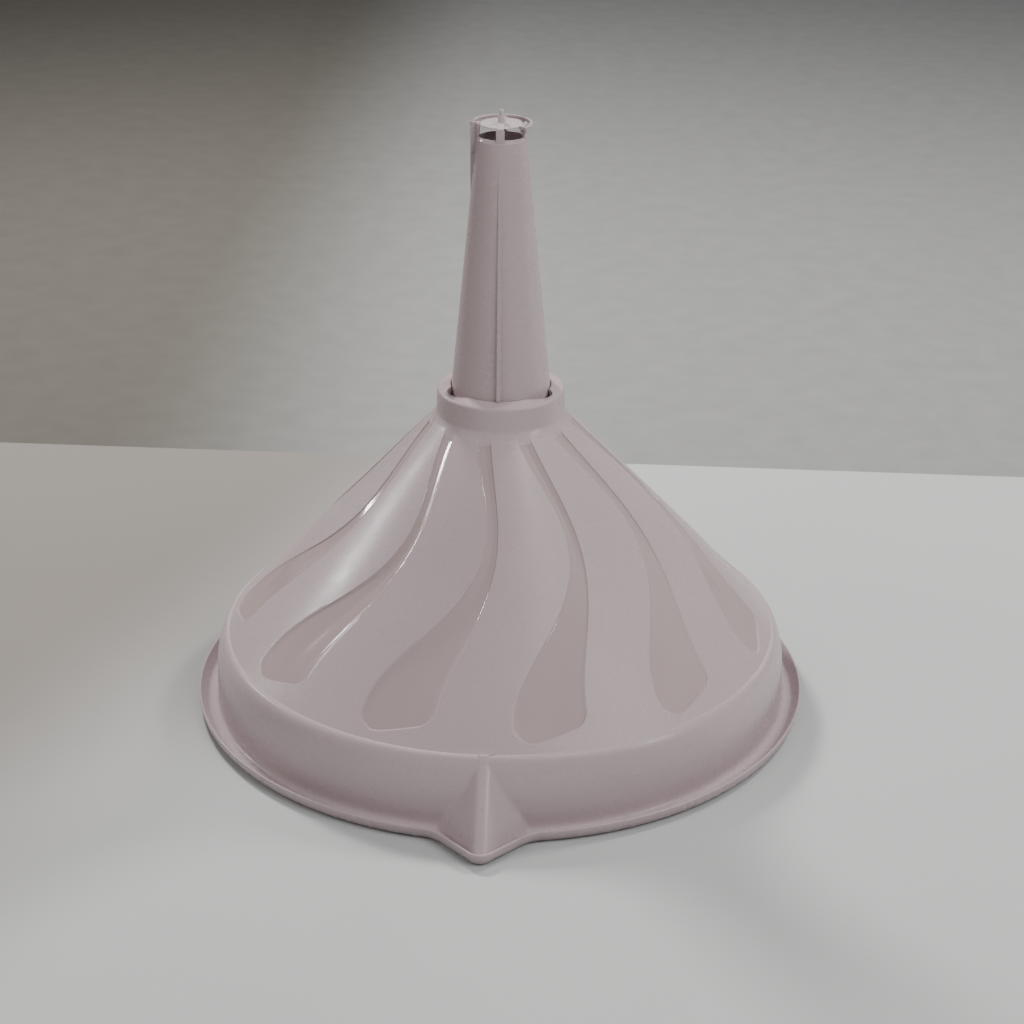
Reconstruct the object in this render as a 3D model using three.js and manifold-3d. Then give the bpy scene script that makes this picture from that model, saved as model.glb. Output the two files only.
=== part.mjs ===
// Large household funnel standing on its rim, mouth down and spout up.
// Units are millimetres, +Z is up. The pouring lip points to -Y. The origin is on the
// resting plane, in the middle of the overall box, so the funnel axis sits a little
// behind it (AXIS_Y). Azimuths are measured from the pouring lip towards +X.
import * as THREE from 'three';
import { ConvexGeometry } from 'three/addons/geometries/ConvexGeometry.js';
import { mergeVertices } from 'three/addons/utils/BufferGeometryUtils.js';
import Module from 'manifold-3d';

const wasm = await Module();
wasm.setup();

const GAP = 0.3;                  // running gap between pieces that touch
const ROUND_STEPS = 72;           // facets around the bowl
const SPOUT_STEPS = 48;           // facets around the spout and the cap

// Rim, gutter and pouring lip
const RIM_RADIUS = 125;
const LIP_REACH = 140.5;          // axis to the outermost point of the lip
const LIP_HALF_WIDTH = 18.7;      // half the width of the lip where it leaves the rim
const LIP_CORNER = 7;             // rounding of the lip's outline
const WEDGE_TIP = 3.1;            // the lip's ridge ends this far inside its outline
const WEDGE_HALF_WIDTH = 19.4;
const AXIS_Y = (LIP_REACH - RIM_RADIUS) / 2;
const FLOOR_THICK = 1.6;          // flat ring the funnel stands on

// Bowl wall: skirt, then a straight cone up to the collar
const WALL = 1.8;
const SKIRT_RADIUS = 117;
const BULGE_Z = 13.4;             // the skirt starts to curve inwards here
const CONE_FOOT = { r: 111.5, z: 31.2 };
const CONE_HEAD = { r: 25.65, z: 123.9 };

// Collar and socket
const COLLAR_EDGE = { r: 25.2, z: 133.9 };
const COLLAR_TOP_Z = 135.7;
const SOCKET_RADIUS = 19.8;
const LEDGE_Z = 127;
const LEDGE_UNDER_Z = 124.4;
const THROAT_RADIUS = 17.6;
const NOTCH_RADIUS = 7;           // two crescents in the mouth of the socket
const NOTCH_CENTRE = 16.6;
const NOTCH_DEPTH = 3;
const NOTCH_AZIMUTH = 55;

// Swirl flutes pressed into the cone
const FLUTES = 11;
const FLUTE_EDGE_DEPTH = 0.35;
const FLUTE_MID_DEPTH = 0.85;
const FLUTE_AZIMUTH = -9.6;
const FLUTE_SWING = 9.3;
const FLUTE_HALF_ANGLE = 5.2;
const FLUTE_WIDENING = 2.7;

// Spout
const PLUG_RADIUS = SOCKET_RADIUS - GAP;
const TIP_RADIUS = 9.5;
const TIP_Z = 236.7;              // front of the tip
const TIP_SLANT = 3;              // its rim falls this many degrees towards the back
const TIP_CHAMFER = { r: 0.7, z: 1.4 };
const BASE_WALL = 1.6;
const TIP_WALL = 1.1;
const POST_HALF = 9.9;            // azimuths either side of a post's middle
const POST_TOP_Z = 240.45;
const CROWN_TOP_Z = 241.4;        // side walls of the crown, either side of the cap
const CROWN_RIGHT = [71, 100];
const CROWN_LEFT = [262, 283];
const RIB_THICK = 1.2;
const RIB_HEIGHT = 1.8;
const SHELL_FOOT_Z = 136.1;
const SHELL_SPAN = [128, 272];    // azimuths of the thicker back of the tube
const RING = { outer: 11.85, inner: 10.8, foot: 240.2, top: 241.5 };
const RING_SPAN = [52, 274];      // the guard ring is open at the front
const STAY_SPANS = [[132, 142], [250, 274]];
const STAY_FOOT_Z = 229.6;
const SHELL_TOP_Z = 230.8;

// Tip cap
const CAP_RADIUS = TIP_RADIUS - TIP_WALL - GAP;
const CAP_Z = 240.4;
const CAP_THICK = 0.7;
const BAR_WIDTH = 2.8;            // bar across the cap, resting on the front and back posts
const BAR_Z = POST_TOP_Z + GAP;
const BAR_TOP_Z = 241.4;
const KNOB_RADIUS = 1.4;
const KNOB_TOP_Z = 246.4;

const radians = THREE.MathUtils.degToRad;

// Closed three.js geometry to a manifold solid, facing outwards
function solid(geometry) {
  const bare = geometry.index ? geometry.clone() : geometry;
  for (const name of ['normal', 'uv']) bare.deleteAttribute(name);
  const merged = mergeVertices(bare, 1e-4);
  const corner = merged.getAttribute('position');
  const index = Array.from(merged.index.array);
  const a = new THREE.Vector3();
  const b = new THREE.Vector3();
  const c = new THREE.Vector3();
  let volume = 0;
  const kept = [];
  for (let i = 0; i < index.length; i += 3) {
    const [p, q, r] = index.slice(i, i + 3);
    if (p === q || q === r || r === p) continue;
    kept.push(p, q, r);
    a.fromBufferAttribute(corner, p);
    b.fromBufferAttribute(corner, q);
    c.fromBufferAttribute(corner, r);
    volume += a.dot(b.cross(c));
  }
  if (volume < 0) kept.reverse();
  return new wasm.Manifold(new wasm.Mesh({
    numProp: 3,
    vertProperties: new Float32Array(corner.array),
    triVerts: new Uint32Array(kept),
  }));
}

// Profile given as [radius, height] pairs, turned around the funnel axis
function turned(profile, steps) {
  const points = profile.map(([r, z]) => new THREE.Vector2(r, z));
  return solid(new THREE.LatheGeometry(points, steps).rotateX(Math.PI / 2));
}

function cylinder(radius, bottom, top, steps = SPOUT_STEPS) {
  return turned([[0, bottom], [radius, bottom], [radius, top], [0, top]], steps);
}

function box(width, depth, height, x, y, z) {
  return solid(new THREE.BoxGeometry(width, depth, height).translate(x, y, z));
}

// Flat outline given as [x, y] pairs, raised from one height to another
function plate(outline, bottom, top) {
  const shape = new THREE.Shape(outline.map(([x, y]) => new THREE.Vector2(x, y)));
  const options = { depth: top - bottom, bevelEnabled: false };
  return solid(new THREE.ExtrudeGeometry(shape, options).translate(0, 0, bottom));
}

// Solid turned about the funnel axis by an azimuth in degrees
function turnedBy(part, azimuth) {
  return part.rotate([0, 0, azimuth]);
}

function at(radius, azimuth) {
  const angle = radians(azimuth);
  return [radius * Math.sin(angle), -radius * Math.cos(angle)];
}

// Section of the upturned rim edge: [distance out from the outermost line, height]
function edgeSection() {
  return [
    [-6, 0], [-3.6, 0], [-1.6, 0.9], [-0.5, 2.3], [0, 4.6], [-0.1, 5.4], [-0.5, 5.7],
    [-0.9, 5.3], [-2.2, 3.5], [-3.7, FLOOR_THICK], [-6, FLOOR_THICK],
  ];
}

// Outermost line of the lip in plan, from one side of the rim to the other
function lipLine() {
  const start = 13;
  const kinkAzimuth = THREE.MathUtils.radToDeg(Math.asin(LIP_HALF_WIDTH / RIM_RADIUS));
  const corners = [[...at(RIM_RADIUS, -kinkAzimuth)], [0, -LIP_REACH - 2.51],
    [...at(RIM_RADIUS, kinkAzimuth)]].map(([x, y]) => new THREE.Vector3(x, y, 0));
  const ends = [-start, start].map((azimuth) => new THREE.Vector3(...at(RIM_RADIUS, azimuth), 0));
  const path = new THREE.CurvePath();
  let from = ends[0];
  corners.forEach((corner, i) => {
    const next = i < 2 ? corners[i + 1] : ends[1];
    const before = from.clone().sub(corner).setLength(Math.min(LIP_CORNER, 5 + i * 2));
    const after = next.clone().sub(corner).setLength(Math.min(LIP_CORNER, 9 - i * 2));
    const entry = corner.clone().add(before);
    const exit = corner.clone().add(after);
    path.add(new THREE.LineCurve3(from, entry));
    path.add(new THREE.QuadraticBezierCurve3(entry, corner, exit));
    from = exit;
  });
  path.add(new THREE.LineCurve3(from, ends[1]));
  return path;
}

// Upturned edge: a ring around the rim with the lip's own stretch swept in front
function rimEdge() {
  const ring = edgeSection().map(([out, z]) => [RIM_RADIUS + out, z]);
  const round = turned([...ring, ring[0]], ROUND_STEPS);
  const [x, y] = at(2 * RIM_RADIUS, 12.5);
  const opened = round.subtract(plate([[0, 0], [-x, y], [x, y]], -1, 9));
  const section = new THREE.Shape(edgeSection().map(([out, z]) => new THREE.Vector2(-z, -out)));
  const swept = new THREE.ExtrudeGeometry(section, { steps: 36, extrudePath: lipLine() });
  return opened.add(solid(swept));
}

// Flat floor inside the swept edge
function lipFloor() {
  const line = lipLine().getSpacedPoints(44);
  const inset = line.map((p) => [p.x * 0.97, p.y + 4]);
  return plate([[-24, -110], ...inset, [24, -110]], 0, FLOOR_THICK);
}

// Three-sided hollow of the lip, smaller by an inset for its inside
function lipWedge(inset) {
  const tip = -LIP_REACH + WEDGE_TIP + inset * 1.3;
  const foot = WEDGE_HALF_WIDTH - inset * 1.2;
  const corners = [];
  for (const side of [-1, 1]) {
    corners.push([side * 0.5, -CONE_FOOT.r + inset * 0.9, CONE_FOOT.z - 0.6 - inset]);
    corners.push([side * 1.1, tip, inset > 0 ? -1 : FLOOR_THICK * 0.8]);
    corners.push([side * foot, -112, inset > 0 ? -1 : FLOOR_THICK * 0.8]);
    corners.push([side * foot * 0.9, -104, inset > 0 ? -1 : FLOOR_THICK * 0.8]);
  }
  return solid(new ConvexGeometry(corners.map((corner) => new THREE.Vector3(...corner))));
}

// Bulging skirt between the gutter and the cone, as [radius, height] pairs
function skirtCurve(inset) {
  const foot = CONE_FOOT.r - inset * 0.95;
  const rise = CONE_FOOT.z - BULGE_Z - inset * 0.55;
  const out = SKIRT_RADIUS - inset - foot;
  return [0, 1, 2, 3, 4, 5].map((i) => {
    const angle = (i / 5) * Math.PI / 2;
    return [foot + out * Math.cos(angle), BULGE_Z + rise * Math.sin(angle)];
  });
}

function outerProfile() {
  return [
    [0, 0], [SKIRT_RADIUS + 2.4, 0], [SKIRT_RADIUS + 2.4, FLOOR_THICK],
    [SKIRT_RADIUS + 0.8, FLOOR_THICK + 0.5], [SKIRT_RADIUS + 0.2, FLOOR_THICK + 2],
    ...skirtCurve(0),
    [CONE_HEAD.r + 0.9, CONE_HEAD.z - 0.5], [CONE_HEAD.r + 0.2, CONE_HEAD.z + 0.7],
    [CONE_HEAD.r, CONE_HEAD.z + 2], [CONE_HEAD.r - 0.1, COLLAR_EDGE.z - 1.2],
    [COLLAR_EDGE.r, COLLAR_EDGE.z - 0.2], [COLLAR_EDGE.r - 0.9, COLLAR_EDGE.z + 0.5],
    [SOCKET_RADIUS + 0.6, COLLAR_TOP_Z], [0, COLLAR_TOP_Z],
  ];
}

function innerProfile() {
  const shift = WALL / Math.hypot(CONE_HEAD.r - CONE_FOOT.r, CONE_HEAD.z - CONE_FOOT.z);
  const headR = CONE_HEAD.r - (CONE_HEAD.z - CONE_FOOT.z) * shift;
  const headZ = CONE_HEAD.z - (CONE_FOOT.r - CONE_HEAD.r) * shift;
  return [
    [0, -1], [SKIRT_RADIUS - WALL, -1], ...skirtCurve(WALL),
    [headR + 2.2, headZ - 2.4], [headR - 2.4, LEDGE_UNDER_Z - 0.8],
    [THROAT_RADIUS, LEDGE_UNDER_Z], [THROAT_RADIUS, LEDGE_Z + 1], [0, LEDGE_Z + 1],
  ];
}

// One S-shaped cutter. Its box is bent on to the cone: along is 0 at the collar and 1
// at the skirt, across runs from one edge of the flute to the other.
function fluteCutter() {
  const cutter = new THREE.BoxGeometry(1, 1, 1, 2, 12, 1);
  const position = cutter.getAttribute('position');
  const slope = Math.atan2(CONE_HEAD.z - CONE_FOOT.z, CONE_FOOT.r - CONE_HEAD.r);
  for (let i = 0; i < position.count; i += 1) {
    const across = position.getX(i) * 2;
    const along = 0.985 - (position.getY(i) + 0.5) * 0.985;
    const swing = Math.cos(2 * Math.PI * (along - 0.33) / 1.15);
    const taper = Math.sqrt(Math.min(1, (1 - along) / 0.1));
    const widening = FLUTE_WIDENING * Math.cos(2 * Math.PI * (along - 0.34) / 1.1);
    const half = (FLUTE_HALF_ANGLE - widening) * taper;
    const azimuth = radians(FLUTE_AZIMUTH + FLUTE_SWING * swing + across * half);
    const depth = FLUTE_EDGE_DEPTH + (FLUTE_MID_DEPTH - FLUTE_EDGE_DEPTH) * (1 - Math.abs(across));
    const lift = position.getZ(i) > 0 ? 2 : -depth;
    const r = THREE.MathUtils.lerp(CONE_HEAD.r, CONE_FOOT.r, along) + lift * Math.sin(slope);
    const z = THREE.MathUtils.lerp(CONE_HEAD.z, CONE_FOOT.z, along) + lift * Math.cos(slope);
    position.setXYZ(i, r * Math.sin(azimuth), -r * Math.cos(azimuth), z);
  }
  return solid(cutter);
}

function bowl() {
  let body = turned(outerProfile(), ROUND_STEPS).add(rimEdge()).add(lipFloor()).add(lipWedge(0));
  body = body.subtract(turned(innerProfile(), ROUND_STEPS)).subtract(lipWedge(WALL));
  body = body.subtract(cylinder(SOCKET_RADIUS, LEDGE_Z, COLLAR_TOP_Z + 2, ROUND_STEPS));
  const collarGuard = cylinder(CONE_HEAD.r + 0.5, CONE_HEAD.z, COLLAR_TOP_Z + 2, ROUND_STEPS);
  const flute = fluteCutter().subtract(collarGuard);
  for (let i = 0; i < FLUTES; i += 1) body = body.subtract(turnedBy(flute, (360 / FLUTES) * i));
  for (const side of [-1, 1]) {
    const notch = cylinder(NOTCH_RADIUS, COLLAR_TOP_Z - NOTCH_DEPTH, COLLAR_TOP_Z + 1, 32);
    body = body.subtract(notch.translate([...at(NOTCH_CENTRE, side * NOTCH_AZIMUTH), 0]));
  }
  return body;
}

// Outside radius of the spout's tube at a height
function tubeRadius(z) {
  return THREE.MathUtils.mapLinear(z, COLLAR_TOP_Z, TIP_Z, PLUG_RADIUS, TIP_RADIUS);
}

// Wedge-shaped block between two azimuths, to keep a stretch of something turned
function sector([from, to], bottom, top) {
  const arc = [];
  for (let i = 0; i <= 8; i += 1) arc.push(at(40, THREE.MathUtils.lerp(from, to, i / 8)));
  return plate([[0, 0], ...arc], bottom, top);
}

function ring(inner, outer, bottom, top, span) {
  const section = [[inner, bottom], [outer, bottom], [outer, top], [inner, top], [inner, bottom]];
  return turned(section, SPOUT_STEPS).intersect(sector(span, bottom - 1, top + 1));
}

// Thicker back of the tube, widest at the tip and flush at the collar
function backShell() {
  const outer = [[0, SHELL_FOOT_Z], [PLUG_RADIUS + 0.25, SHELL_FOOT_Z],
    [RING.outer, STAY_FOOT_Z], [RING.outer, SHELL_TOP_Z], [0, SHELL_TOP_Z]];
  return turned(outer, SPOUT_STEPS).intersect(sector(SHELL_SPAN, SHELL_FOOT_Z - 1, SHELL_TOP_Z + 1));
}

// Thin guard ring around the tip, carried by two stays on the back shell
function guardRing() {
  let guard = ring(RING.inner, RING.outer, RING.foot, RING.top, RING_SPAN);
  for (const span of STAY_SPANS) {
    guard = guard.add(ring(RING.inner, RING.outer, STAY_FOOT_Z, RING.top, span));
  }
  const links = [[RING_SPAN[0] + 3, RING.foot], [RING_SPAN[1] - 3, STAY_FOOT_Z]];
  for (const [azimuth, foot] of links) {
    const near = TIP_RADIUS - 0.4;
    const far = RING.outer - 0.3;
    const link = box(1.1, far - near, RING.top - foot, 0, -(near + far) / 2, (RING.top + foot) / 2);
    guard = guard.add(turnedBy(link, azimuth));
  }
  return guard;
}

// Crown on the tip's rim: two posts that carry the cap's bar and two side walls
function crown() {
  const inner = TIP_RADIUS - TIP_WALL;
  const root = TIP_Z - 2;
  return ring(inner, TIP_RADIUS, root, POST_TOP_Z, [-POST_HALF, POST_HALF])
    .add(ring(inner, TIP_RADIUS, root, POST_TOP_Z, [180 - POST_HALF, 180 + POST_HALF]))
    .add(ring(inner, TIP_RADIUS, root, CROWN_TOP_Z, CROWN_RIGHT))
    .add(ring(inner, TIP_RADIUS, root, CROWN_TOP_Z, CROWN_LEFT))
    .add(ring(inner, TIP_RADIUS, RING.foot, CROWN_TOP_Z, [RING_SPAN[0] + 1, CROWN_RIGHT[0] + 1]));
}

// Long rib down the front, rising from the tube towards the collar
function frontRib() {
  const top = STAY_FOOT_Z;
  const foot = SHELL_FOOT_Z;
  const outline = new THREE.Shape([
    new THREE.Vector2(tubeRadius(foot) - 0.9, foot),
    new THREE.Vector2(tubeRadius(foot) + RIB_HEIGHT, foot),
    new THREE.Vector2(tubeRadius(top), top),
    new THREE.Vector2(tubeRadius(top) - 0.9, top),
  ]);
  const options = { depth: RIB_THICK, bevelEnabled: false };
  const blade = new THREE.ExtrudeGeometry(outline, options).translate(0, 0, -RIB_THICK / 2);
  return solid(blade.rotateX(Math.PI / 2).rotateZ(-Math.PI / 2));
}

function spout() {
  const foot = LEDGE_Z + GAP;
  const shoulder = TIP_Z - TIP_CHAMFER.z;
  const outer = [[0, foot], [PLUG_RADIUS - 0.6, foot], [PLUG_RADIUS, foot + 0.6],
    [PLUG_RADIUS, COLLAR_TOP_Z], [tubeRadius(shoulder), shoulder],
    [TIP_RADIUS - TIP_CHAMFER.r, TIP_Z], [0, TIP_Z]];
  const bore = [[0, foot - 1], [PLUG_RADIUS - BASE_WALL, foot - 1],
    [PLUG_RADIUS - BASE_WALL, COLLAR_TOP_Z - 2], [TIP_RADIUS - TIP_WALL, TIP_Z - 2.5],
    [TIP_RADIUS - TIP_WALL, RING.top + 2], [0, RING.top + 2]];
  const slant = box(60, 60, 20, 0, 0, 10).rotate([-TIP_SLANT, 0, 0])
    .translate([0, 0, TIP_Z - TIP_RADIUS * Math.tan(radians(TIP_SLANT))]);
  const tube = turned(outer, SPOUT_STEPS).add(backShell()).add(frontRib()).subtract(slant);
  return tube.add(crown()).add(guardRing()).subtract(turned(bore, SPOUT_STEPS));
}

function tipCap() {
  const top = CAP_Z + CAP_THICK;
  const disc = turned([[0, CAP_Z], [CAP_RADIUS - 1.7, CAP_Z], [CAP_RADIUS, CAP_Z + 0.35],
    [CAP_RADIUS, top], [0, top]], SPOUT_STEPS);
  const bar = box(BAR_WIDTH, 40, BAR_TOP_Z - BAR_Z, 0, 0, (BAR_TOP_Z + BAR_Z) / 2)
    .intersect(cylinder(TIP_RADIUS - 0.1, CAP_Z, BAR_TOP_Z + 1));
  const knob = [[0, CAP_Z + 0.2], [KNOB_RADIUS, CAP_Z + 0.2], [KNOB_RADIUS * 0.96, KNOB_TOP_Z - 3.1],
    [KNOB_RADIUS * 0.75, KNOB_TOP_Z - 2.5], [KNOB_RADIUS * 0.68, KNOB_TOP_Z - 0.8],
    [KNOB_RADIUS * 0.4, KNOB_TOP_Z - 0.1], [0, KNOB_TOP_Z]];
  return disc.add(bar).add(turned(knob, 20));
}

function glossPlastic(colour) {
  return new THREE.MeshStandardMaterial({ color: colour, roughness: 0.32, metalness: 0 });
}

function named(name, part, material) {
  const { vertProperties, triVerts } = part.translate([0, AXIS_Y, 0]).getMesh();
  const geometry = new THREE.BufferGeometry();
  geometry.setAttribute('position', new THREE.BufferAttribute(vertProperties, 3));
  geometry.setIndex(new THREE.BufferAttribute(triVerts, 1));
  geometry.computeVertexNormals();
  const mesh = new THREE.Mesh(geometry, material);
  mesh.name = name;
  return mesh;
}

const funnel = new THREE.Group();
funnel.name = 'funnel';
funnel.add(named('funnel_bowl', bowl(), glossPlastic(0xa39699)));
funnel.add(named('spout', spout(), glossPlastic(0xa09396)));
funnel.add(named('tip_cap', tipCap(), glossPlastic(0xa5989a)));

export default funnel;
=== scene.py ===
"""Looks of the household funnel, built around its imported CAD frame.

Three pieces stand for the three CAD nodes: the bowl, the spout and the tip cap. Each is one
fine mesh whose grid lines follow the flutes, the lip and the rib, with a procedural
injection-moulded plastic on it. Lengths here are millimetres, turned to metres at the end.
Azimuths are degrees from the pouring lip (-Y) towards +X.
"""

import math

import bmesh
import bpy
from mathutils import Matrix, Vector


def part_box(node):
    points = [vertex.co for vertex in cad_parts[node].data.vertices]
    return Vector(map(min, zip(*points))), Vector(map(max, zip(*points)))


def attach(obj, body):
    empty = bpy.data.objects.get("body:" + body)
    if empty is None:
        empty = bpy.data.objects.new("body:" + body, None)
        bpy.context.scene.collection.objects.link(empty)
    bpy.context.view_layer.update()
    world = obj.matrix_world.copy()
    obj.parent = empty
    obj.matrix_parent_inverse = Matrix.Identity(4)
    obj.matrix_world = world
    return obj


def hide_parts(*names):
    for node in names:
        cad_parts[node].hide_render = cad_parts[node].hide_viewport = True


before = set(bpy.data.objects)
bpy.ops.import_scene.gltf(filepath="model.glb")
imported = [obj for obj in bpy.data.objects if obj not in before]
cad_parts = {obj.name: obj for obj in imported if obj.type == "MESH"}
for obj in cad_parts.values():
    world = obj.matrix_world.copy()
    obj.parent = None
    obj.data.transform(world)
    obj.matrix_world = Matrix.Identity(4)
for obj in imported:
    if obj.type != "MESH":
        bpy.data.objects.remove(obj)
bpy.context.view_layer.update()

MM = 0.001
BOWL_LOW, BOWL_HIGH = (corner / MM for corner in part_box("funnel_bowl"))
CAP_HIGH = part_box("tip_cap")[1] / MM

# Bowl: rim, gutter and lip
RIM_R = BOWL_HIGH.x                       # outermost circle of the rim
AXIS_Y = BOWL_HIGH.y - RIM_R              # the funnel axis sits behind the middle of the box
LIP_REACH = AXIS_Y - BOWL_LOW.y           # axis to the tip of the pouring lip
LIP_HALF_W = 18.7
LIP_PEAK = 2.5                            # the lip's straight sides would meet this much further out
LIP_BLEND = 3.0                           # rounding where the lip leaves the rim
STRAIGHT_SPAN = 20                        # degrees to each side that the straight sides can reach
WEDGE_SPAN = 14                           # degrees to each side that the lip's ridge can reach
WEDGE_TOP, WEDGE_TIP = 1.7, 3.1           # ridge ends, from the cone's foot and from the lip's tip
WEDGE_FOOT, WEDGE_FOOT_OUT = 19.4, 112.0  # foot of a side face: sideways and from the axis
WEDGE_ROUND, CREASE = 2.0, 0.4            # flattened crest, and blend into the skirt
FLOOR_T = 1.6
WALL = 1.8

# Bowl: skirt, cone and collar, as radius and height
SKIRT_R = 117.0
BULGE_Z = 13.4
FOOT_R, FOOT_Z = 111.5, 31.2
HEAD_R, HEAD_Z = 25.65, 123.9
COLLAR_R, COLLAR_EDGE_Z, COLLAR_Z = 25.2, 133.9, BOWL_HIGH.z
SOCKET_R, LEDGE_Z, LEDGE_UNDER_Z, THROAT_R = 19.8, 127.0, 124.4, 17.6
NOTCH_R, NOTCH_CENTRE, NOTCH_DEPTH, NOTCH_AZ = 7.0, 16.6, 3.0, 55.0

# Flutes, with angles in degrees around the axis
FLUTES = 11
PITCH = 360 / FLUTES
FLUTE_MIDDLE, FLUTE_SWING, FLUTE_TURN = -9.6, 9.3, 1.15
FLUTE_HALF, FLUTE_WIDENING, FLUTE_BREATH = 5.2, 2.7, 1.1
FLUTE_LEFT_END, FLUTE_RIGHT_END = 0.988, 0.925
VALLEY = 0.12                             # deepest line, from -1 at the left edge to 1 at the right
CONE_ROWS, TAIL_ROWS = 84, 6
CONE_SPLIT = 0.995                        # share of the cone that the flutes' own columns cover
EDGE_DEPTH, MID_DEPTH = 0.38, 0.9
FLUTE_ROW = 22                            # first row of a column that lies in a flute

# Spout
GAP = 0.3
PLUG_R, TIP_R = SOCKET_R - GAP, 9.5
TIP_Z, TIP_SLANT, POST_Z, CROWN_Z = 236.7, 3.0, 240.45, 241.35
CHAMFER_R, CHAMFER_Z = 0.7, 1.4
BASE_WALL, TIP_WALL = 1.6, 1.1
POST_HALF = 9.9
CROWN_RIGHT, CROWN_LEFT = (71, 100), (262, 283)
RIB_HALF, RIB_H = 0.6, 1.8
RIB_FLANK = {0.85: 0.97, 1.0: 0.86, 1.12: 0.12, 1.4: 0.02}   # share of the height beside the crest
SHELL_Z, SHELL_TOP = 136.1, 230.8
SHELL_FROM, SHELL_TO = 128, 272
RING_R, RING_IN_R, RING_FOOT, RING_TOP = 11.85, 10.8, 240.2, 241.5
RING_FROM, RING_TO = 52, 274
STAYS = ((132, 142), (250, 274))
STAY_FOOT = 229.6

# Tip cap
CAP_R = TIP_R - TIP_WALL - GAP
CAP_Z, CAP_TOP = 240.4, 241.1
BAR_W, BAR_TOP = 2.8, 241.4
KNOB_R, KNOB_Z = 1.4, CAP_HIGH.z


def mix(a, b, t):
    return a + (b - a) * t


def smooth(t):
    t = min(1.0, max(0.0, t))
    return t * t * (3 - 2 * t)


def soft_max(a, b, width):
    """Larger of two lengths, rounded off over a width."""
    h = max(0.0, width - abs(a - b)) / width
    return max(a, b) + h * h * width / 4


def at(r, az, z):
    """Point at a radius from the funnel's axis, an azimuth and a height."""
    a = math.radians(az)
    return Vector((r * math.sin(a), AXIS_Y - r * math.cos(a), z))


def make_object(name, bm, sharp=32):
    """Cleans the mesh, marks its crisp edges and links it as an object in metres."""
    bmesh.ops.remove_doubles(bm, verts=bm.verts, dist=1e-4)
    bmesh.ops.dissolve_degenerate(bm, edges=bm.edges, dist=1e-4)
    bmesh.ops.recalc_face_normals(bm, faces=bm.faces)
    for face in bm.faces:
        face.smooth = True
    for edge in bm.edges:
        edge.smooth = len(edge.link_faces) == 2 and edge.calc_face_angle(0) < math.radians(sharp)
    bmesh.ops.scale(bm, vec=(MM, MM, MM), verts=bm.verts)
    mesh = bpy.data.meshes.new(name)
    bm.to_mesh(mesh)
    bm.free()
    obj = bpy.data.objects.new(name, mesh)
    bpy.context.scene.collection.objects.link(obj)
    return obj


def skin(bm, columns, closed=True, wrap=True):
    """Faces between neighbouring columns of points; wrap joins the last column to the first."""
    grid = [[bm.verts.new(p) for p in column] for column in columns]
    pairs = list(zip(grid, grid[1:] + grid[:1])) if wrap else list(zip(grid, grid[1:]))
    rows = len(columns[0])
    for left, right in pairs:
        for i in range(rows if closed else rows - 1):
            j = (i + 1) % rows
            bm.faces.new((left[i], left[j], right[j], right[i]))
    return grid


# ---------------------------------------------------------------- the bowl

def flute_centre(v):
    """Azimuth of a flute's middle; v runs from 0 at the collar to 1 at the skirt."""
    return FLUTE_MIDDLE + FLUTE_SWING * math.cos(2 * math.pi * (v - 0.33) / FLUTE_TURN)


def flute_half(v):
    """Half of a flute's width: narrow near the collar, wide near the skirt."""
    return FLUTE_HALF - FLUTE_WIDENING * math.cos(2 * math.pi * (v - 0.34) / FLUTE_BREATH)


def flute_end(s):
    """Where the flute ends, for s from -1 at its left edge to 1 at its right edge."""
    slant = mix(FLUTE_LEFT_END, FLUTE_RIGHT_END, (s + 1) / 2)
    rounding = 0.05 * max(0.0, -s - 0.55) ** 2 / 0.2 + 0.03 * max(0.0, s - 0.7) ** 2 / 0.09
    return slant - rounding


def flute_depth(s):
    """Depth of the V-shaped section, deepest a little right of the middle."""
    reach = (s + 1) / (VALLEY + 1) if s < VALLEY else (1 - s) / (1 - VALLEY)
    return mix(EDGE_DEPTH, MID_DEPTH, reach)


def lip_plan(az):
    """Outline of the rim seen from above, as x and distance in front of the axis."""
    a = math.radians(az)
    sx, cy = abs(math.sin(a)), math.cos(a)
    reach = RIM_R
    if abs(az) < STRAIGHT_SPAN:
        # straight side from the kink to the tip, then the tip's own circle
        side = Vector((LIP_HALF_W, math.sqrt(RIM_R ** 2 - LIP_HALF_W ** 2)))
        along = Vector((-side.x, LIP_REACH + LIP_PEAK - side.y)).normalized()
        out = Vector((along.y, -along.x))
        straight = side.dot(out) / (sx * out.x + cy * out.y)
        round_r = (LIP_REACH * out.y - side.dot(out)) / (out.y - 1)
        centre = LIP_REACH - round_r
        if straight * sx < round_r * out.x:
            straight = centre * cy + math.sqrt(max(0.0, round_r ** 2 - (centre * sx) ** 2))
        reach = soft_max(straight, RIM_R, LIP_BLEND)
    return math.copysign(reach * sx, az), reach * cy


def rim_frame(az):
    """Outermost point of the rim at an azimuth, and the outward direction in plan."""
    step = 0.25
    x, y = lip_plan(az)
    x0, y0 = lip_plan(az - step)
    x1, y1 = lip_plan(az + step)
    tx, ty = x1 - x0, y1 - y0
    length = math.hypot(tx, ty)
    return (x, y), (-ty / length, tx / length)


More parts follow.
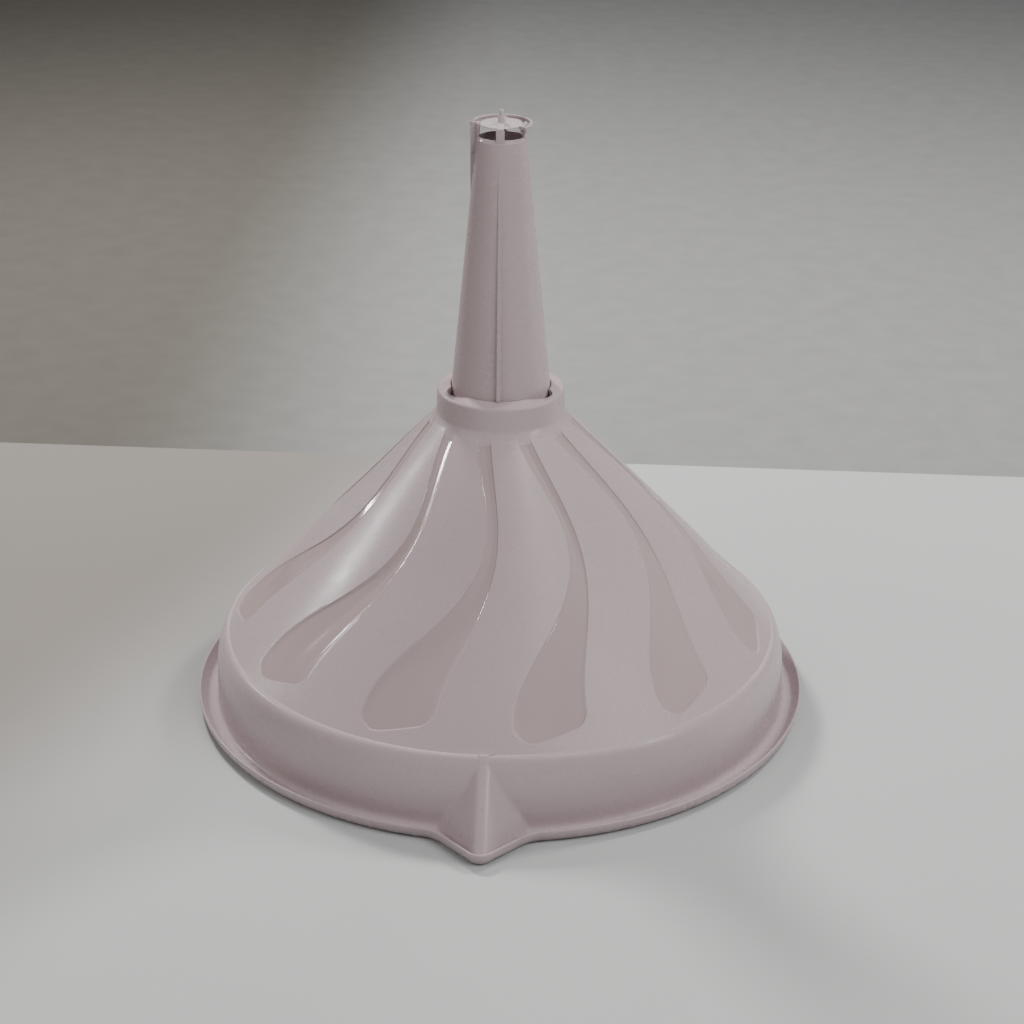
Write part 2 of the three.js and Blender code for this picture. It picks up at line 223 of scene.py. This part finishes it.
# The upturned edge in section: distance from the outermost line and height, from the gutter
# floor up a thin wall that leans out, over its rounded top and down to the ground
EDGE = [
    (-6.4, FLOOR_T), (-5.2, FLOOR_T), (-4.4, FLOOR_T + 0.03), (-3.95, FLOOR_T + 0.15),
    (-3.6, FLOOR_T + 0.42), (-3.2, 2.45), (-2.7, 3.05), (-2.2, 3.65), (-1.7, 4.28), (-1.25, 4.85),
    (-1.0, 5.2), (-0.85, 5.42), (-0.68, 5.58), (-0.48, 5.67), (-0.28, 5.62), (-0.12, 5.48),
    (-0.03, 5.25), (0.0, 4.9), (0.0, 4.5), (-0.06, 3.9), (-0.2, 3.2), (-0.42, 2.55), (-0.75, 1.9),
    (-1.2, 1.3), (-1.8, 0.75), (-2.5, 0.32), (-3.2, 0.08), (-3.8, 0.0), (-4.6, 0.0), (-6.4, 0.0),
]


def wedge_radius(az, z, inset=0.0):
    """Distance from the axis to the lip's three-sided ridge, or 0 where there is none."""
    if abs(az) > WEDGE_SPAN:
        return 0.0
    a = math.radians(abs(az))
    low_z = FLOOR_T - 0.3 if inset == 0 else -1.0
    # side plane through the top of the ridge, the lip's tip and the foot beside it
    top = Vector((0.0, FOOT_R + WEDGE_TOP - inset * 0.9, FOOT_Z - 0.3 - inset))
    tip = Vector((0.0, LIP_REACH - WEDGE_TIP - inset * 1.3, low_z))
    foot = Vector((WEDGE_FOOT - inset * 1.2, WEDGE_FOOT_OUT, low_z))
    normal = (tip - top).cross(foot - top)
    reach = 120.0
    for _ in range(6):
        x = ((reach * math.sin(a)) ** 4 + WEDGE_ROUND ** 4) ** 0.25 - 0.9 * WEDGE_ROUND
        reach = (normal.dot(top) - normal.z * z - normal.x * x) / (normal.y * math.cos(a))
    return max(0.0, reach)


def skirt_points(inset):
    """Bulging section of the skirt, from the cone's foot down, set in for the inner face."""
    foot = FOOT_R - inset * 0.95
    rise = FOOT_Z - BULGE_Z - inset * 0.55
    out = SKIRT_R - inset - foot
    steps = 22
    return [(foot + out * math.cos(i / steps * math.pi / 2),
             BULGE_Z + rise * math.sin(i / steps * math.pi / 2)) for i in range(steps, -1, -1)]


def with_lip(az, r, z, inset=0.0):
    """Radius of the skirt, pushed out where the lip's ridge stands in front of it."""
    return soft_max(r, wedge_radius(az, z, inset), CREASE)


def bowl_column(az_base, s, land):
    """Upper part of a section of the bowl, from the throat over the collar and down the cone.

    s is -1 to 1 across a flute; land is None in a flute, or how far between two flutes."""
    points = []

    def put(r, z, az=az_base):
        points.append(at(r, az, z))

    def flute_azimuth(v):
        if land is None:
            return az_base + flute_centre(v) + s * flute_half(v)
        right = flute_half(v)
        return az_base + flute_centre(v) + mix(right, PITCH - right, land)

    head_az = flute_azimuth(0.0)

    # throat, ledge and socket, with the crescent notches in its mouth
    nearest = min((abs((head_az - side * NOTCH_AZ + 180) % 360 - 180), side) for side in (-1, 1))[0]
    mouth_r = SOCKET_R
    bend = math.radians(nearest)
    if NOTCH_CENTRE * math.sin(bend) < NOTCH_R:
        chord = math.sqrt(NOTCH_R ** 2 - (NOTCH_CENTRE * math.sin(bend)) ** 2)
        mouth_r = max(SOCKET_R, NOTCH_CENTRE * math.cos(bend) + chord)
    floor_z = COLLAR_Z - NOTCH_DEPTH
    for r, z in ((THROAT_R, LEDGE_UNDER_Z), (THROAT_R, LEDGE_Z), (SOCKET_R, LEDGE_Z),
                 (SOCKET_R, floor_z), (mouth_r, floor_z), (mouth_r, COLLAR_Z - 0.35),
                 (mouth_r + 0.1, COLLAR_Z - 0.12), (mouth_r + 0.35, COLLAR_Z)):
        put(r, z, head_az)
    # collar: nearly flat top, small shoulder, side and the fillet into the cone
    for r, z in ((24.0, COLLAR_Z - 1.02), (24.5, COLLAR_Z - 1.2), (24.85, COLLAR_EDGE_Z + 0.35),
                 (25.08, COLLAR_EDGE_Z), (COLLAR_R, COLLAR_EDGE_Z - 0.5),
                 (25.28, COLLAR_EDGE_Z - 1.6), (25.4, 130.2), (25.52, 127.6), (25.62, 125.9),
                 (25.72, 125.1), (25.92, 124.5), (26.2, 124.05)):
        put(r, z, head_az)

    # cone: rows follow the flute; its edge is a short step with a rounded top
    slope = math.atan2(HEAD_Z - FOOT_Z, FOOT_R - HEAD_R)
    start = 0.012
    end = flute_end(s) if land is None else mix(flute_end(1), flute_end(-1), smooth(land))
    inside = land is None and abs(s) < 0.999
    edge_v = 0.35 / math.hypot(FOOT_R - HEAD_R, HEAD_Z - FOOT_Z)
    values = [mix(start, end - 2 * edge_v, i / CONE_ROWS) for i in range(CONE_ROWS + 1)]
    depths = [flute_depth(s) if inside else 0.0] * len(values)
    if inside:
        across = min(1.0, (1 - abs(s)) * flute_half(0.5) / 0.35)
        depths = [d * smooth(across) if across < 1 else d for d in depths]
    last = depths[-1]
    values += [end - edge_v, end]
    depths += [last * 0.55, 0.0]
    values += [mix(end, CONE_SPLIT, (i + 1) / TAIL_ROWS) for i in range(TAIL_ROWS)]
    depths += [0.0] * TAIL_ROWS
    for v, depth in zip(values, depths):
        r = mix(HEAD_R, FOOT_R, v) - depth * math.sin(slope)
        z = mix(HEAD_Z, FOOT_Z, v) - depth * math.cos(slope)
        if v < 0.04:
            blend = smooth((v - start) / (0.04 - start))
            r = mix(mix(HEAD_R, FOOT_R, v) + 0.05, r, blend)
            z = mix(mix(HEAD_Z, FOOT_Z, v), z, blend)
        put(r, z, flute_azimuth(v))
    return points


def foot_rows(az):
    """The rest of a section: cone foot, skirt, gutter, edge, underside and inside."""
    points = []

    def put(r, z):
        points.append(at(r, az, z))

    for r, z in skirt_points(0):
        put(with_lip(az, r, z), z)
    for r, z in ((SKIRT_R + 0.02, 11.2), (SKIRT_R + 0.05, 9), (SKIRT_R + 0.08, 6.8),
                 (SKIRT_R + 0.14, 5), (SKIRT_R + 0.24, 3.8), (SKIRT_R + 0.5, 2.9),
                 (SKIRT_R + 0.95, 2.25), (SKIRT_R + 1.6, 1.8), (SKIRT_R + 2.4, FLOOR_T)):
        put(with_lip(az, r, z), z)
    (x, y), (nx, ny) = rim_frame(az)
    inner = with_lip(az, SKIRT_R + 2.4, FLOOR_T) + 0.3
    a = math.radians(az)
    for out, z in EDGE:
        px, py = x + nx * out, y + ny * out
        r = math.hypot(px, py)
        if r < inner:
            px, py = inner * math.sin(a), inner * math.cos(a)
        points.append(Vector((px, AXIS_Y - py, z)))
    # underside and the smooth inside of the bowl
    for z in (0.0, 2.0, 4.5, 7.0, 10.0):
        put(with_lip(az, SKIRT_R - WALL, z, WALL), z)
    for r, z in reversed(skirt_points(WALL)):
        put(with_lip(az, r, z, WALL), z)
    shift = WALL / math.hypot(HEAD_R - FOOT_R, HEAD_Z - FOOT_Z)
    low = (FOOT_R - WALL * 0.95, FOOT_Z - WALL * 0.55)
    high = (HEAD_R - (HEAD_Z - FOOT_Z) * shift + 2.2, HEAD_Z - (FOOT_R - HEAD_R) * shift - 2.4)
    for i in range(1, 13):
        put(mix(low[0], high[0], i / 12), mix(low[1], high[1], i / 12))
    put(high[0] - 2.4, high[1] + 1.5)
    put(high[0] - 4.6, LEDGE_UNDER_Z - 0.8)
    return points


def foot_azimuths():
    """Azimuths of the lower columns, close together at the lip."""
    half, az = [], 0.0
    while az < 178.6:
        az += 0.22 if az < 2 else 0.36 if az < 14 else min(1.45, 0.36 + (az - 14) * 0.12)
        half.append(az)
    half = [value * 180 / (half[-1] + 0.7) if value > 20 else value for value in half]
    return [-value for value in reversed(half)] + [0.0] + half


def zip_rings(bm, ring_a, ring_b):
    """Triangles between two closed rings of points that don't share their azimuths."""
    def turn_of(vert):
        return math.degrees(math.atan2(vert.co.x, AXIS_Y - vert.co.y)) % 360

    a, b = sorted(ring_a, key=turn_of), sorted(ring_b, key=turn_of)
    i = j = 0
    while i < len(a) or j < len(b):
        here_a, here_b = a[i % len(a)], b[j % len(b)]
        next_a, next_b = a[(i + 1) % len(a)], b[(j + 1) % len(b)]
        turn_a = turn_of(next_a) + 360 * ((i + 1) // len(a)) if i < len(a) else 1e9
        turn_b = turn_of(next_b) + 360 * ((j + 1) // len(b)) if j < len(b) else 1e9
        if turn_a <= turn_b:
            bm.faces.new((here_a, next_a, here_b))
            i += 1
        else:
            bm.faces.new((here_a, next_b, here_b))
            j += 1


def build_bowl():
    """The upper grid follows the flutes and the lower one is dense at the lip."""
    in_flute = [-1, -0.93, -0.86, -0.7, -0.45, -0.2, 0.0, 0.12, 0.24, 0.45, 0.7, 0.86, 0.93, 1]
    on_land = [0.04, 0.12, 0.28, 0.5, 0.72, 0.88, 0.96]
    sections = []
    for k in range(FLUTES):
        base = k * PITCH
        sections += [(base, s, None) for s in in_flute]
        sections += [(base, 1, t) for t in on_land]
    bm = bmesh.new()
    upper = skin(bm, [bowl_column(*section) for section in sections], closed=False)
    # the flutes' floors take the second, smoother material, whose darker, warmer colour is painted shade
    # in the recesses
    last_row = len(upper[0]) - TAIL_ROWS - 1
    for k, (left, right) in enumerate(zip(upper, upper[1:] + upper[:1])):
        if sections[k][2] is None and sections[(k + 1) % len(sections)][2] is None:
            for i in range(FLUTE_ROW, last_row):
                bm.faces.get((left[i], left[i + 1], right[i + 1], right[i])).material_index = 1
    lower = skin(bm, [foot_rows(az) for az in foot_azimuths()], closed=False)
    zip_rings(bm, [column[-1] for column in upper], [column[0] for column in lower])
    zip_rings(bm, [column[0] for column in upper], [column[-1] for column in lower])
    return make_object("funnel_bowl_moulded", bm)


# ---------------------------------------------------------------- the spout

def tube_r(z):
    """Outer radius of the tapered tube at a height."""
    return mix(PLUG_R, TIP_R, (z - COLLAR_Z) / (TIP_Z - COLLAR_Z))


def rim_z(az):
    """Height of the tip's rim, which falls a little from the front to the back."""
    return TIP_Z - TIP_R * math.tan(math.radians(TIP_SLANT)) * (1 - math.cos(math.radians(az)))


def arc_block(bm, section, start, end, steps, ease=0.12):
    """Section turned from one azimuth to another, with its two end faces drawn in a little."""
    middle = Vector((sum(r for r, _ in section), sum(z for _, z in section))) / len(section)
    columns = []
    for i in range(-1, steps + 2):
        az = mix(start, end, min(max(i, 0), steps) / steps)
        shrink = ease if i in (-1, steps + 1) else 0.0
        if i == 0 or i == steps:
            az += math.degrees(ease / middle.x) * (1 if i == 0 else -1)
        columns.append([at(r - math.copysign(min(shrink, abs(r - middle.x)), r - middle.x), az,
                           z - math.copysign(min(shrink, abs(z - middle.y)), z - middle.y))
                        for r, z in section])
    grid = skin(bm, columns, wrap=False)
    bm.faces.new(grid[0])
    bm.faces.new(list(reversed(grid[-1])))


def rounded(inner, outer, bottom, top, edge=0.15):
    """Four-sided section with small rounded corners, as radius and height."""
    near, far = edge * 0.3, edge
    return [(inner, bottom + far), (inner + near, bottom + near), (inner + far, bottom),
            (outer - far, bottom), (outer - near, bottom + near), (outer, bottom + far),
            (outer, top - far), (outer - near, top - near), (outer - far, top),
            (inner + far, top), (inner + near, top - near), (inner, top - far)]


def shell_r(z):
    """Outer radius of the thicker back half at a height."""
    return mix(PLUG_R + 0.25, RING_R, (z - SHELL_Z) / (STAY_FOOT - SHELL_Z))


def spout_outside(kind, value, z):
    """Radius and azimuth of the spout's outside at a height, for one column of its grid."""
    base = tube_r(max(z, COLLAR_Z))
    if z < LEDGE_Z + GAP + 0.6:
        base -= LEDGE_Z + GAP + 0.6 - z
    if kind == "rib":
        az = math.degrees(math.asin(value * RIB_HALF / base))
        full = RIB_H * (STAY_FOOT - z) / (STAY_FOOT - SHELL_Z) if SHELL_Z < z < STAY_FOOT else 0.0
        flank = 1.0 if abs(value) < 0.8 else RIB_FLANK.get(abs(value), 0)
        return base + full * flank, az
    if SHELL_FROM <= value <= SHELL_TO and SHELL_Z < z < SHELL_TOP:
        edge = min(value - SHELL_FROM, SHELL_TO - value)
        return mix(base, min(shell_r(z), RING_R), smooth(edge / 0.8) if edge < 0.8 else 1), value
    return base, value


def build_spout():
    """Tube with its rib, back shell and bore in one grid, and the crown and guard ring on its tip."""
    bm = bmesh.new()
    foot = LEDGE_Z + GAP
    shoulder = TIP_Z - CHAMFER_Z
    heights = [foot, foot + 0.6, COLLAR_Z - 0.2, COLLAR_Z + 0.1, SHELL_Z, SHELL_Z + 0.05]
    heights += [mix(SHELL_Z + 0.3, STAY_FOOT, i / 64) for i in range(65)]
    heights += [SHELL_TOP - 0.3, SHELL_TOP - 0.02, SHELL_TOP]
    heights += [mix(SHELL_TOP + 0.5, shoulder - 0.15, i / 4) for i in range(5)]
    # columns: the rib in front, the front of the tube, the thicker back, the front again
    rib = [1.9, 1.4, 1.12, 1.0, 0.85, 0.4]
    marks = [("rib", -u) for u in rib] + [("rib", 0.0)] + [("rib", u) for u in reversed(rib)]
    marks += [("az", mix(8, SHELL_FROM - 1, i / 30)) for i in range(31)]
    step_in = [0.0, 0.25, 0.5, 0.8]
    marks += [("az", SHELL_FROM + d) for d in step_in]
    marks += [("az", mix(SHELL_FROM + 2, SHELL_TO - 2, i / 46)) for i in range(47)]
    marks += [("az", SHELL_TO - d) for d in reversed(step_in)]
    marks += [("az", mix(SHELL_TO + 1, 352, i / 22)) for i in range(23)]
    bore_r = TIP_R - TIP_WALL
    columns = []
    for kind, value in marks:
        column = []
        for z in heights:
            r, az = spout_outside(kind, value, z)
            column.append(at(r, az, z))
        az = spout_outside(kind, value, TIP_Z)[1]
        drop = TIP_Z - rim_z(az)
        lip_r = TIP_R - CHAMFER_R + CHAMFER_R * min(1, drop / CHAMFER_Z)
        top = rim_z(az)
        for r, z in ((tube_r(shoulder), shoulder - 0.05), (tube_r(shoulder) - 0.06, shoulder + 0.1),
                     (lip_r + 0.08, top - 0.12), (lip_r - 0.04, top), (bore_r + 0.12, top),
                     (bore_r + 0.02, top - 0.06), (bore_r, top - 0.18)):
            column.append(at(r, az, z))
        for z in (TIP_Z - 2.5, 222, 205, 185, 165, 145, COLLAR_Z - 2, LEDGE_Z + 3):
            share = (z - COLLAR_Z + 2) / (TIP_Z - 2.5 - COLLAR_Z + 2)
            column.append(at(mix(PLUG_R - BASE_WALL, bore_r, max(0.0, share)), az, z))
        column.append(at(PLUG_R - BASE_WALL, az, foot))
        columns.append(column)
    skin(bm, columns)

    # crown: front and back posts, side walls and the bridge to the ring's right end
    root = TIP_Z - 2
    for middle in (0, 180):
        arc_block(bm, rounded(bore_r, TIP_R, root, POST_Z), middle - POST_HALF, middle + POST_HALF, 8)
    for start, end in (CROWN_RIGHT, CROWN_LEFT):
        arc_block(bm, rounded(bore_r, TIP_R, root, CROWN_Z), start, end, 10)
    arc_block(bm, rounded(bore_r, TIP_R, RING_FOOT, CROWN_Z), RING_FROM + 1, CROWN_RIGHT[0] + 1, 8)
    # guard ring on its two stays, linked to the side walls at both ends
    arc_block(bm, rounded(RING_IN_R, RING_R, RING_FOOT, RING_TOP, 0.22), RING_FROM, RING_TO, 80)
    for start, end in STAYS:
        arc_block(bm, rounded(RING_IN_R, RING_R, STAY_FOOT, RING_TOP, 0.22), start, end, 8)
    for azimuth, low in ((RING_FROM + 3, RING_FOOT), (RING_TO - 3, STAY_FOOT)):
        side = math.degrees(0.55 / 10.5)
        arc_block(bm, rounded(TIP_R - 0.4, RING_R - 0.3, low, RING_TOP), azimuth - side, azimuth + side, 4)
    return make_object("spout_moulded", bm)


# ---------------------------------------------------------------- the tip cap

def lathe(bm, profile, steps):
    """Profile of radii and heights turned around the axis."""
    skin(bm, [[at(r, 360 * i / steps, z) for r, z in profile] for i in range(steps)], closed=False)


def build_cap():
    """Disc with a chamfered underside, a knob on it and a bar across it."""
    bm = bmesh.new()
    lathe(bm, [(0, CAP_Z), (CAP_R - 1.8, CAP_Z), (CAP_R - 1.6, CAP_Z + 0.03), (CAP_R - 0.12, CAP_Z + 0.33),
               (CAP_R, CAP_Z + 0.42), (CAP_R, CAP_TOP - 0.14), (CAP_R - 0.05, CAP_TOP - 0.04),
               (CAP_R - 0.16, CAP_TOP), (CAP_R * 0.5, CAP_TOP), (0, CAP_TOP)], 96)
    neck = KNOB_Z - 2.8
    lathe(bm, [(0, CAP_Z + 0.2), (KNOB_R + 0.2, BAR_TOP - 0.02), (KNOB_R + 0.06, BAR_TOP + 0.12),
               (KNOB_R, BAR_TOP + 0.4), (KNOB_R * 0.96, neck - 0.3), (KNOB_R * 0.9, neck),
               (KNOB_R * 0.77, neck + 0.35), (KNOB_R * 0.72, neck + 0.7), (KNOB_R * 0.68, KNOB_Z - 0.8),
               (KNOB_R * 0.6, KNOB_Z - 0.4), (KNOB_R * 0.4, KNOB_Z - 0.12),
               (KNOB_R * 0.2, KNOB_Z - 0.02), (0, KNOB_Z)], 40)
    # bar across the disc, with its ends on the front and back posts
    half, reach = BAR_W / 2, TIP_R - 0.12
    low, high = POST_Z + 0.06, BAR_TOP
    cross = [(-half, low), (-half, high - 0.2), (-half + 0.06, high - 0.06), (-half + 0.2, high),
             (half - 0.2, high), (half - 0.06, high - 0.06), (half, high - 0.2), (half, low)]
    steps = 24
    columns = []
    for i in range(steps + 1):
        y = mix(-reach, reach, i / steps)
        sag = 0.18 if i in (0, steps) else 0.0
        column = []
        for x, z in cross:
            limit = math.sqrt(reach ** 2 - x * x)
            column.append(Vector((x, AXIS_Y + max(-limit, min(limit, y)), z - (sag if z > low else 0))))
        columns.append(column)
    grid = skin(bm, columns, wrap=False)
    bm.faces.new(grid[0])
    bm.faces.new(list(reversed(grid[-1])))
    return make_object("tip_cap_moulded", bm)


# ---------------------------------------------------------------- materials

def plastic(name, colour, roughness, seed):
    """Glossy injection-moulded plastic: faint flow mottle, fine surface waviness and rub marks."""
    mat = bpy.data.materials.new(name)
    mat.use_nodes = True
    nodes, links = mat.node_tree.nodes, mat.node_tree.links
    shader = nodes["Principled BSDF"]
    shader.inputs["IOR"].default_value = 1.5
    shader.inputs["Subsurface Weight"].default_value = 0.06
    shader.inputs["Subsurface Radius"].default_value = (1.0, 0.7, 0.6)
    shader.inputs["Subsurface Scale"].default_value = 0.0012
    place = nodes.new("ShaderNodeTexCoord")
    shift = nodes.new("ShaderNodeMapping")
    shift.inputs["Location"].default_value = (seed, seed * 0.7, seed * 1.3)
    links.new(place.outputs["Object"], shift.inputs["Vector"])

    def noise(scale, detail, rough=0.5):
        node = nodes.new("ShaderNodeTexNoise")
        node.inputs["Scale"].default_value = scale
        node.inputs["Detail"].default_value = detail
        node.inputs["Roughness"].default_value = rough
        links.new(shift.outputs["Vector"], node.inputs["Vector"])
        return node

    flow = noise(14, 3)
    ramp = nodes.new("ShaderNodeValToRGB")
    ramp.color_ramp.elements[0].position = 0.3
    ramp.color_ramp.elements[1].position = 0.7
    ramp.color_ramp.elements[0].color = (*[c * 0.955 for c in colour], 1)
    ramp.color_ramp.elements[1].color = (*[min(1, c * 1.035) for c in colour], 1)
    links.new(flow.outputs["Fac"], ramp.inputs["Fac"])
    links.new(ramp.outputs["Color"], shader.inputs["Base Color"])

    rub = noise(90, 6, 0.65)
    level = nodes.new("ShaderNodeMapRange")
    level.inputs["From Min"].default_value = 0.3
    level.inputs["From Max"].default_value = 0.75
    level.inputs["To Min"].default_value = roughness * 0.85
    level.inputs["To Max"].default_value = roughness * 1.25
    links.new(rub.outputs["Fac"], level.inputs["Value"])
    links.new(level.outputs["Result"], shader.inputs["Roughness"])

    wave = noise(420, 2)
    ripple = nodes.new("ShaderNodeBump")
    ripple.inputs["Strength"].default_value = 0.04
    ripple.inputs["Distance"].default_value = 0.0002
    links.new(wave.outputs["Fac"], ripple.inputs["Height"])
    links.new(ripple.outputs["Normal"], shader.inputs["Normal"])
    return mat


def paper(name, colour, mottle, grain, painted_shade_tint, toward=0.0):
    """Matt backdrop paper with a faint uneven tone, and painted shade that darkens its left side."""
    mat = bpy.data.materials.new(name)
    mat.use_nodes = True
    nodes, links = mat.node_tree.nodes, mat.node_tree.links
    shader = nodes["Principled BSDF"]
    shader.inputs["Roughness"].default_value = 0.75
    shader.inputs["Specular IOR Level"].default_value = 0.2
    place = nodes.new("ShaderNodeTexCoord")
    tone = nodes.new("ShaderNodeTexNoise")
    tone.inputs["Scale"].default_value = grain
    tone.inputs["Detail"].default_value = 5
    links.new(place.outputs["Object"], tone.inputs["Vector"])
    ramp = nodes.new("ShaderNodeValToRGB")
    ramp.color_ramp.elements[0].position = 0.3
    ramp.color_ramp.elements[1].position = 0.7
    ramp.color_ramp.elements[0].color = (*[c * (1 - mottle) for c in colour], 1)
    ramp.color_ramp.elements[1].color = (*[c * (1 + mottle) for c in colour], 1)
    links.new(tone.outputs["Fac"], ramp.inputs["Fac"])
    # painted shade: the sheet's left side is darker and warmer
    side = nodes.new("ShaderNodeVectorMath")
    side.operation = "DOT_PRODUCT"
    side.inputs[1].default_value = (0.9, toward, 0)
    links.new(place.outputs["Object"], side.inputs[0])
    across = nodes.new("ShaderNodeMapRange")
    across.interpolation_type = "SMOOTHSTEP"
    across.inputs["From Min"].default_value = SHADE_FADE_FROM * MM
    across.inputs["From Max"].default_value = SHADE_FADE_TO * MM
    links.new(side.outputs["Value"], across.inputs["Value"])
    shade = nodes.new("ShaderNodeMix")
    shade.data_type = "RGBA"
    shade.blend_type = "MULTIPLY"
    shade.inputs["Factor"].default_value = 1
    painted_shade_mix = nodes.new("ShaderNodeMix")
    painted_shade_mix.data_type = "RGBA"
    painted_shade_mix.inputs["A"].default_value = (*painted_shade_tint, 1)
    painted_shade_mix.inputs["B"].default_value = (1, 1, 1, 1)
    links.new(across.outputs["Result"], painted_shade_mix.inputs["Factor"])
    links.new(ramp.outputs["Color"], shade.inputs["A"])
    links.new(painted_shade_mix.outputs["Result"], shade.inputs["B"])
    links.new(shade.outputs["Result"], shader.inputs["Base Color"])
    return mat


SHADE_FADE_FROM, SHADE_FADE_TO = -200, -40              # millimetres across the floor where the painted shade on its left side fades out
LILAC = (0.375, 0.300, 0.316)
# darker, warmer colour of the flute floors: painted shade in the recesses
FLUTE_PAINTED_SHADE_TAN = (0.340, 0.268, 0.268)
SPOUT_LILAC = (0.37, 0.298, 0.308)
CAP_LILAC = (0.40, 0.335, 0.345)
bowl = build_bowl()
bowl.data.materials.append(plastic("bowl_gloss", LILAC, 0.27, 1.7))
# polished flute floors, coloured with painted shade
bowl.data.materials.append(plastic("flute_polish_painted_shade", FLUTE_PAINTED_SHADE_TAN, 0.08, 3.1))
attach(bowl, "bowl")
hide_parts("funnel_bowl")

spout = build_spout()
spout.data.materials.append(plastic("spout_gloss", SPOUT_LILAC, 0.26, 5.3))
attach(spout, "spout_body")
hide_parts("spout")

cap = build_cap()
cap.data.materials.append(plastic("cap_gloss", CAP_LILAC, 0.24, 9.1))
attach(cap, "cap_body")
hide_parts("tip_cap")


# ---------------------------------------------------------------- stage, light and camera

BACKDROP_TURN = -1.4                      # degrees between the backdrop and the X axis


def sheet(name, x0, x1, y0, y1, mat):
    """Flat sheet on the ground, turned with the backdrop's edge."""
    mesh = bpy.data.meshes.new(name)
    turn = Matrix.Rotation(math.radians(BACKDROP_TURN), 3, "Z")
    corners = [turn @ Vector(c) * MM for c in ((x0, y0, 0), (x1, y0, 0), (x1, y1, 0), (x0, y1, 0))]
    mesh.from_pydata(corners, [], [(0, 1, 2, 3)])
    obj = bpy.data.objects.new(name, mesh)
    obj.data.materials.append(mat)
    bpy.context.scene.collection.objects.link(obj)
    return obj


BACKDROP_Y = AXIS_Y + 236
SHEET_REACH = 6000
# the last colours passed are painted shade for the papers' left sides
near_paper = paper("floor_paper", (0.375, 0.38, 0.378), 0.015, 9, (0.50, 0.455, 0.42), -0.4)
sheet("floor", -SHEET_REACH, SHEET_REACH, -SHEET_REACH, BACKDROP_Y, near_paper)
far_paper = paper("far_paper", (0.205, 0.207, 0.204), 0.05, 60, (0.46, 0.43, 0.38))
sheet("far_floor", -SHEET_REACH, SHEET_REACH, BACKDROP_Y, SHEET_REACH, far_paper)


# Soft lights that leave no reflection: azimuth, elevation, distance, size, watts and colour
SOFT_LIGHTS = [
    ("key_right", 50, 44, 1100, 700, 10, (1.0, 0.985, 0.985)),
    ("back_left", -148, 44, 1100, 170, 17, (1.0, 0.98, 0.96)),
    ("back_right", 132, 44, 1100, 170, 8, (1.0, 0.98, 0.96)),
    ("fill_left", -55, 36, 1300, 900, 6.2, (1.0, 0.97, 0.94)),
]
# Narrow lights that only show as reflections: azimuth, elevation, width, height and watts
BLADES = [
    ("blade", -110.5, 23.7, 170, 60, 3),
    ("facet_streak", 48, 60.2, 120, 40, 0.9),
    ("collar_spark", 66, 24, 90, 260, 2),
]


def softbox(name, azimuth, elevation, distance, width, height, watts, colour=(1, 1, 1)):
    """Area light aimed at the middle of the funnel."""
    lamp = bpy.data.lights.new(name, "AREA")
    lamp.shape = "RECTANGLE"
    lamp.size, lamp.size_y = width * MM, height * MM
    lamp.energy = watts
    lamp.color = colour
    obj = bpy.data.objects.new(name, lamp)
    bpy.context.scene.collection.objects.link(obj)
    target = Vector((0, AXIS_Y, 90)) * MM
    a, e = math.radians(azimuth), math.radians(elevation)
    back = Vector((math.sin(a) * math.cos(e), -math.cos(a) * math.cos(e), math.sin(e)))
    obj.location = target + back * distance * MM
    obj.rotation_mode = "QUATERNION"
    obj.rotation_quaternion = (-back).to_track_quat("-Z", "Y")
    return obj


for name, azimuth, elevation, distance, size, watts, colour in SOFT_LIGHTS:
    lamp = softbox(name, azimuth, elevation, distance, size, size, watts, colour)
    lamp.visible_glossy = False
for name, azimuth, elevation, width, height, watts in BLADES:
    blade = softbox(name, azimuth, elevation, 1500, width, height, watts)
    blade.visible_diffuse = False

world = bpy.data.worlds.new("studio")
bpy.context.scene.world = world
world.use_nodes = True
world.node_tree.nodes["Background"].inputs["Color"].default_value = (0.97, 0.97, 1.0, 1)
world.node_tree.nodes["Background"].inputs["Strength"].default_value = 0.25

CAMERA_AZ, CAMERA_OUT, CAMERA_UP, CAMERA_PITCH, CAMERA_ROLL = 2.8, 884.9, 486.26, 24.69, 0.28
CAMERA_SIDE = 4.64
camera = bpy.data.objects.new("camera", bpy.data.cameras.new("camera"))
bpy.context.scene.collection.objects.link(camera)
bpy.context.scene.camera = camera
camera.data.sensor_width = 36
camera.data.lens = 84.4
turn = math.radians(CAMERA_AZ)
camera.location = Vector((CAMERA_OUT * math.sin(turn) + CAMERA_SIDE * math.cos(turn),
                          AXIS_Y - CAMERA_OUT * math.cos(turn) + CAMERA_SIDE * math.sin(turn),
                          CAMERA_UP)) * MM
camera.rotation_mode = "QUATERNION"
camera.rotation_quaternion = (Matrix.Rotation(turn, 3, "Z")
                              @ Matrix.Rotation(math.radians(90 - CAMERA_PITCH), 3, "X")
                              @ Matrix.Rotation(math.radians(CAMERA_ROLL), 3, "Z")).to_quaternion()
camera.data.clip_start, camera.data.clip_end = 0.05, 20
